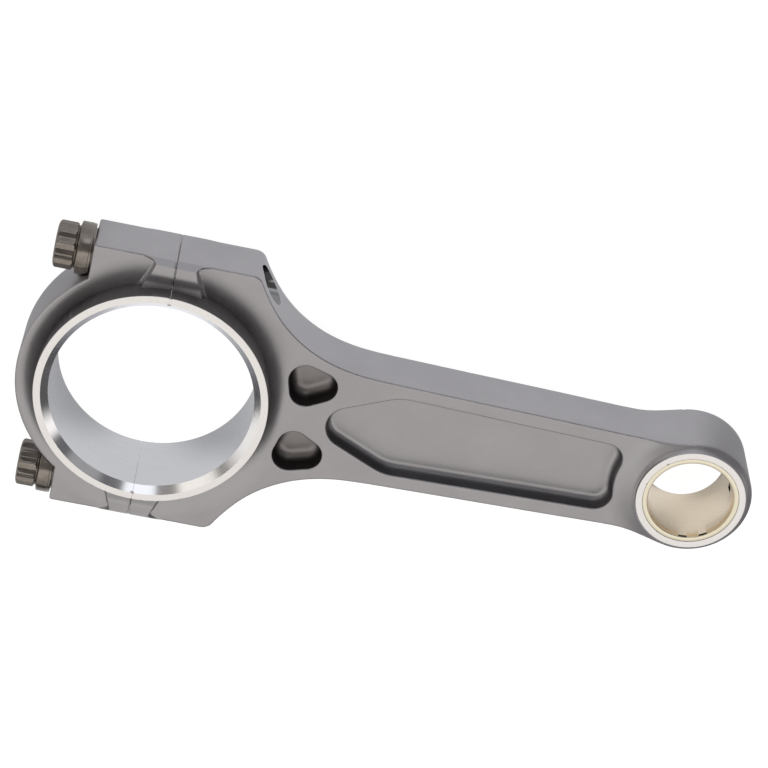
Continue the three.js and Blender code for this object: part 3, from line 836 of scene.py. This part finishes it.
def bolt_mesh(y):
    n = 288
    ts = [2 * math.pi * j / n for j in range(n)]
    star = np.array([star_radius(t) for t in ts])
    star = np.minimum(star, POINT_R - 0.06)
    for _ in range(3):
        star = 0.25 * np.roll(star, 1) + 0.5 * star + 0.25 * np.roll(star, -1)
    # head: radius limit against x
    prof = [(HEAD_TOP + 1.35, 0.0), (HEAD_TOP + 0.06, 1.75), (HEAD_TOP, 1.95), (HEAD_TOP, 4.9), (HEAD_TOP + 0.05, 5.3),
            (HEAD_TOP + 0.2, 5.8), (HEAD_TOP + 0.45, 6.25), (HEAD_TOP + 0.85, 6.52), (HEAD_TOP + 1.4, 6.6),
            (HEAD_TOP + 2.5, 6.6), (-28.9, 6.6), (-28.2, 6.58), (-27.95, 6.48), (-27.75, 6.25), (-27.6, 5.95),
            (-27.45, 5.8), (-27.3, 5.85), (-27.15, 6.1), (-27.05, 6.45), (FLANGE_OUT, 6.8),
            (FLANGE_OUT + 0.08, 7.05), (FLANGE_OUT + 0.22, 7.22), (FLANGE_OUT + 0.42, FLANGE_R), (-23.75, FLANGE_R), (-23.62, 7.2), (-23.45, 7.2), (-23.35, 7.24), (FLANGE_IN - 0.25, 7.24),
            (FLANGE_IN - 0.08, 7.15), (FLANGE_IN, 7.0), (FLANGE_IN, 6.1), (SEAT_X - 0.03, 6.05), (SEAT_X - 0.03, 5.0),
            (SEAT_X, 4.78), (SEAT_X + 0.2, 4.74), (-19.6, 4.74), (-19.3, 4.7), (-18.6, 4.2), (-18.2, BOLT_WAIST),
            (-3.8, BOLT_WAIST), (-3.4, 4.2), (-2.9, 4.6)]
    verts, rings = [], []
    for x, r in prof:
        ring = []
        if r == 0:
            ring = [len(verts)] * n
            verts.append((x, y, 0))
        else:
            for j, t in enumerate(ts):
                rr = r
                if x < -27.58 and r > 5.0:
                    rr = min(r, star[j])
                ring.append(len(verts))
                verts.append((x, y + rr * math.cos(t), rr * math.sin(t)))
        rings.append(ring)
    # thread: a true helix on the same ring count
    pitch, x = 25.4 / 24, -2.7
    step = pitch / 8
    while x < BOLT_TIP - 0.01:
        ring = []
        runin = min(1, max(0, (x + 2.7) / 1.2))
        tip = max(0.0, x - (BOLT_TIP - 1.1))
        for t in ts:
            ph = (x / pitch - t / (2 * math.pi)) % 1.0
            d = abs(ph - 0.5) * 2
            cut = 0.62 * min(1, max(0, (d - 0.12) / 0.76)) * runin
            rr = min(BOLT_R - 0.02 - cut, BOLT_R - tip)
            ring.append(len(verts))
            verts.append((x, y + rr * math.cos(t), rr * math.sin(t)))
        rings.append(ring)
        x += step
    for xx, r in ((BOLT_TIP, 3.7), (BOLT_TIP, 1.4), (BOLT_TIP - 1.0, 0.0)):
        ring = []
        if r == 0:
            ring = [len(verts)] * n
            verts.append((xx, y, 0))
        else:
            for t in ts:
                ring.append(len(verts))
                verts.append((xx, y + r * math.cos(t), r * math.sin(t)))
        rings.append(ring)
    faces = []
    for f in grid_closed(rings):
        g = []
        for i in f:
            if i not in g:
                g.append(i)
        if len(g) > 2:
            faces.append(g[::-1])
    return verts, faces


for nm, s in (("left", 1), ("right", -1)):
    v, f = bolt_mesh(s * BOLT_Y)
    ob = make_object("cap_bolt_%s_fine" % nm, v, f, (MAT_BOLT,), 28)
    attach(ob, "bolt_" + nm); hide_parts("cap_bolt_" + nm)
    c = []
    R = DOWEL_R
    v, f = revolve([(0, -DOWEL_HALF), (R - 0.35, -DOWEL_HALF), (R - 0.12, -DOWEL_HALF + 0.1), (R, -DOWEL_HALF + 0.4),
                    (R, DOWEL_HALF - 0.4), (R - 0.12, DOWEL_HALF - 0.1), (R - 0.35, DOWEL_HALF), (0, DOWEL_HALF)],
                   "x", (0, s * DOWEL_Y, -s * DOWEL_Z), 48, False)
    ob = make_object("dowel_pin_%s_fine" % nm, v, f, (MAT_PIN,), 35)
    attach(ob, "rod"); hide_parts("dowel_pin_" + nm)

# ---------------------------------------------------------------------------
# Wrist-pin bush
# ---------------------------------------------------------------------------
H = EYE_HALF - 0.05
prof = [(PIN_R, -H + 0.28), (PIN_R + 0.05, -H + 0.16), (PIN_R + 0.16, -H + 0.05), (PIN_R + 0.28, -H), (BUSH_R - 0.12, -H), (BUSH_R - 0.03, -H + 0.04), (BUSH_R, -H + 0.12),
        (BUSH_R, H - 0.12), (BUSH_R - 0.03, H - 0.04), (BUSH_R - 0.12, H), (PIN_R + 0.28, H), (PIN_R + 0.16, H - 0.05), (PIN_R + 0.05, H - 0.16), (PIN_R, H - 0.28),
        (PIN_R, H / 2), (PIN_R, 0), (PIN_R, -H / 2)]
v, f = revolve(prof, "z", (CENTRES, 0, 0), 256, True)
bush = make_object("wrist_pin_bush_fine", v, f, (MAT_BUSH_FACE, MAT_BUSH_BORE, MAT_HOLE_SHADE), None)
slots = []
for ang, z, wide, high in ((4.0, 1.6, 1.6, 3.2), (-85.5, 11.15, 2.4, 0.8), (-58.0, 11.15, 2.4, 0.8)):
    c = cutter_box("c", PIN_R - 0.9, PIN_R + 0.85, -wide / 2, wide / 2, z - high / 2, z + high / 2)
    R3 = Matrix.Translation(Vector(to_m([[CENTRES, 0, 0]])[0])) @ Matrix.Rotation(math.radians(ang), 4, "Z") @ Matrix.Translation(-Vector(to_m([[0, 0, 0]])[0]))
    c.data.transform(R3)
    slots.append(c)
boolean(bush, slots)
me = bush.data
idx = []
for p in me.polygons:
    c = np.array(p.center) * 1000 - [OX, OY, OZ]
    rr = math.hypot(c[0] - CENTRES, c[1])
    # oil slot faces get the dark hole material, painted shade
    idx.append(1 if rr < PIN_R + 0.02 and abs(p.normal[2]) < 0.2 else 2 if rr < PIN_R + 0.95 and abs(c[2]) < H - 0.3 else 0)
me.polygons.foreach_set("material_index", idx)
smooth(bush, 25)
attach(bush, "rod"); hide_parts("wrist_pin_bush")

# ---------------------------------------------------------------------------
# Floor, light and camera
# ---------------------------------------------------------------------------
def studio_light():
    """A studio by direction: a wide softbox overhead and in front, dark flags behind, and narrow windows low down."""
    w = bpy.data.worlds.new("studio")
    bpy.context.scene.world = w
    w.use_nodes = True
    nt = w.node_tree
    nt.nodes.clear()
    tc = node(nt, "ShaderNodeTexCoord")
    nz = node(nt, "ShaderNodeVectorMath", operation="NORMALIZE")
    nt.links.new(tc.outputs["Generated"], nz.inputs[0])
    sep = node(nt, "ShaderNodeSeparateXYZ")
    nt.links.new(nz.outputs[0], sep.inputs[0])
    X, Y, Z = sep.outputs
    deg = 180.0 / math.pi
    el = math_node(nt, "MULTIPLY", math_node(nt, "ARCSINE", Z), deg)
    az_back = math_node(nt, "MULTIPLY", math_node(nt, "ARCTAN2", X, Y), deg)                                   # 0 = +Y, 90 = +X
    az_front = math_node(nt, "MULTIPLY", math_node(nt, "ARCTAN2", X, math_node(nt, "MULTIPLY", Y, -1.0)), deg)  # 0 = -Y, 90 = +X

    def step(v, e0, e1):
        return map_range(nt, v, e0, e1, 0.0, 1.0, "SMOOTHSTEP")

    def times(*a):
        out = a[0]
        for k in a[1:]:
            out = math_node(nt, "MULTIPLY", out, k)
        return out

    def window(az, a0, a1, e0, e1, sa, se):
        return times(step(az, a0 - sa, a0 + sa), step(az, a1 + sa, a1 - sa), step(el, e0 - se, e0 + se), step(el, e1 + se, e1 - se))

    def mixed(fac, a, b):
        n = node(nt, "ShaderNodeMix", data_type="RGBA")
        nt.links.new(fac, n.inputs[0])
        for k, v in ((6, a), (7, b)):
            if isinstance(v, tuple):
                n.inputs[k].default_value = (*v, 1)
            else:
                nt.links.new(v, n.inputs[k])
        return n.outputs[2]

    # dark surround, darker towards +X
    col = mixed(step(az_back, -40, 40), (0.30, 0.285, 0.275), (0.135, 0.135, 0.145))
    for az, a0, a1, e0, e1, sa, se, c in WINDOWS:
        col = mixed(window(az_back if az == "back" else az_front, a0, a1, e0, e1, sa, se), col, c)
    # overhead softbox: a disc on the ceiling plane, centred towards -Y
    zc = math_node(nt, "MAXIMUM", Z, 0.02)
    u = math_node(nt, "DIVIDE", X, zc)
    v = math_node(nt, "ADD", math_node(nt, "DIVIDE", Y, zc), 1.30)
    r = math_node(nt, "SQRT", math_node(nt, "ADD", times(u, u), times(v, v)))
    box = times(step(r, 1.56, 1.44), step(Z, 0.0, 0.05))
    # its panels: brighter left and right lobes, softer middle
    side = math_node(nt, "ABSOLUTE", az_front)
    lit = mixed(step(side, 12, 68), (0.86, 0.835, 0.81), (1.10, 1.085, 1.06))
    lit = mixed(times(step(el, 56, 40), step(side, 62, 34)), lit, (0.60, 0.58, 0.565))
    col = mixed(box, col, lit)
    cam_ray = node(nt, "ShaderNodeLightPath")
    col = mixed(cam_ray.outputs["Is Camera Ray"], col, (1.0, 1.0, 1.0))
    bg = node(nt, "ShaderNodeBackground")
    nt.links.new(col, bg.inputs["Color"])
    bg.inputs["Strength"].default_value = 1.0
    out = node(nt, "ShaderNodeOutputWorld")
    nt.links.new(bg.outputs[0], out.inputs["Surface"])


WINDOWS = [("back", -34, 24, -4, 20, 6, 4, (0.62, 0.63, 0.66)),
           ("back", -19, 9, 20, 40, 3, 4, (1.12, 1.14, 1.20)),
           ("back", -72, -38, 20, 38, 5, 5, (1.05, 1.00, 0.94)),
           ("back", 30, 62, 18, 36, 4, 5, (0.36, 0.36, 0.37)),
           ("back", 80, 122, 4, 24, 5, 5, (1.15, 1.12, 1.10)),
           ("back", 40, 74, -2, 18, 5, 5, (0.16, 0.16, 0.17)),
           ("front", -36, 84, -90, 25, 8, 6, (0.10, 0.10, 0.10)),
           ("front", -100, -44, -3, 17, 5, 4, (0.95, 0.93, 0.90))]
studio_light()


def floor_painted_glow():
    """White sheet that glows: plain white to the camera; to every other ray a painted glow that falls off towards both
    ends of the rod (painted shade) with painted pools of light under both bores.
    """
    bpy.ops.mesh.primitive_plane_add(size=6.0, location=(0, 0, -0.0002))
    floor = bpy.context.object
    floor.name = "floor"
    m = bpy.data.materials.new("floor_painted_glow")
    m.use_nodes = True
    nt = m.node_tree
    nt.nodes.clear()
    pos = node(nt, "ShaderNodeTexCoord")
    sep = node(nt, "ShaderNodeSeparateXYZ")
    nt.links.new(pos.outputs["Object"], sep.inputs[0])
    # painted shade: the glow seen in reflections falls off past both ends of the rod
    left = map_range(nt, sep.outputs[0], -0.078, -0.108, 1.0, 0.60, "SMOOTHSTEP")
    right = map_range(nt, sep.outputs[0], 0.082, 0.108, 1.0, 0.52, "SMOOTHSTEP")
    low = math_node(nt, "MULTIPLY", math_node(nt, "MULTIPLY", left, right), 0.66)
    # painted pool of light on the floor under each bore, strongest along its middle, standing in for light coming
    # straight down the bore
    for cx, r, mid, rim in ((OX / 1000, BORE_R / 1000, 1.35, 0.78), (OX / 1000 + CENTRES / 1000, PIN_R / 1000, 1.2, 0.85)):
        dx = math_node(nt, "ABSOLUTE", math_node(nt, "SUBTRACT", sep.outputs[0], cx))
        dy = math_node(nt, "ABSOLUTE", sep.outputs[1])
        far = math_node(nt, "SQRT", math_node(nt, "ADD", math_node(nt, "MULTIPLY", dx, dx), math_node(nt, "MULTIPLY", dy, dy)))
        painted_light_pool = map_range(nt, dx, 0.12 * r, 0.62 * r, mid - 1.0, rim - 1.0, "SMOOTHSTEP")
        within = map_range(nt, far, 0.97 * r, 1.10 * r, 1.0, 0.0, "SMOOTHSTEP")
        low = math_node(nt, "MULTIPLY", low, math_node(nt, "ADD", math_node(nt, "MULTIPLY", painted_light_pool, within), 1.0))
    # the camera sees plain white; other rays, the steel's reflections, see the painted glow
    lp = node(nt, "ShaderNodeLightPath")
    strength = node(nt, "ShaderNodeMix", data_type="FLOAT")
    nt.links.new(lp.outputs["Is Camera Ray"], strength.inputs[0])
    nt.links.new(low, strength.inputs[2])
    strength.inputs[3].default_value = 0.94
    em = node(nt, "ShaderNodeEmission")
    em.inputs["Color"].default_value = (1, 1, 1, 1)
    tint = node(nt, "ShaderNodeMix", data_type="RGBA")
    nt.links.new(lp.outputs["Is Camera Ray"], tint.inputs[0])
    tint.inputs[6].default_value = (0.985, 0.995, 1.03, 1)
    tint.inputs[7].default_value = (1, 1, 1, 1)
    nt.links.new(tint.outputs[2], em.inputs["Color"])
    nt.links.new(strength.outputs[0], em.inputs["Strength"])
    df = node(nt, "ShaderNodeBsdfDiffuse")
    df.inputs["Color"].default_value = (0.24, 0.24, 0.24, 1)
    add = node(nt, "ShaderNodeAddShader")
    nt.links.new(em.outputs[0], add.inputs[0])
    nt.links.new(df.outputs[0], add.inputs[1])
    out = node(nt, "ShaderNodeOutputMaterial")
    nt.links.new(add.outputs[0], out.inputs["Surface"])
    floor.data.materials.append(m)


floor_painted_glow()

sc = bpy.context.scene
cam = bpy.data.cameras.new("camera")
co = bpy.data.objects.new("camera", cam)
sc.collection.objects.link(co)
sc.camera = co
cam.sensor_width = 36.0
cam.lens = 2679.9214 * 36.0 / 768.0
cam.clip_start, cam.clip_end = 0.05, 20.0
loc = to_m([[-3.50667883, 369.28108665, 647.53884533]])[0]
fwd = np.array([0.08884135, -0.48170185, -0.87182025])
up = np.array([-0.18950425, 0.8511194, -0.48957524])
rt = np.cross(fwd, up)
co.matrix_world = Matrix(((rt[0], up[0], -fwd[0], loc[0]), (rt[1], up[1], -fwd[1], loc[1]), (rt[2], up[2], -fwd[2], loc[2]), (0, 0, 0, 1)))
sc.view_settings.view_transform = "Standard"
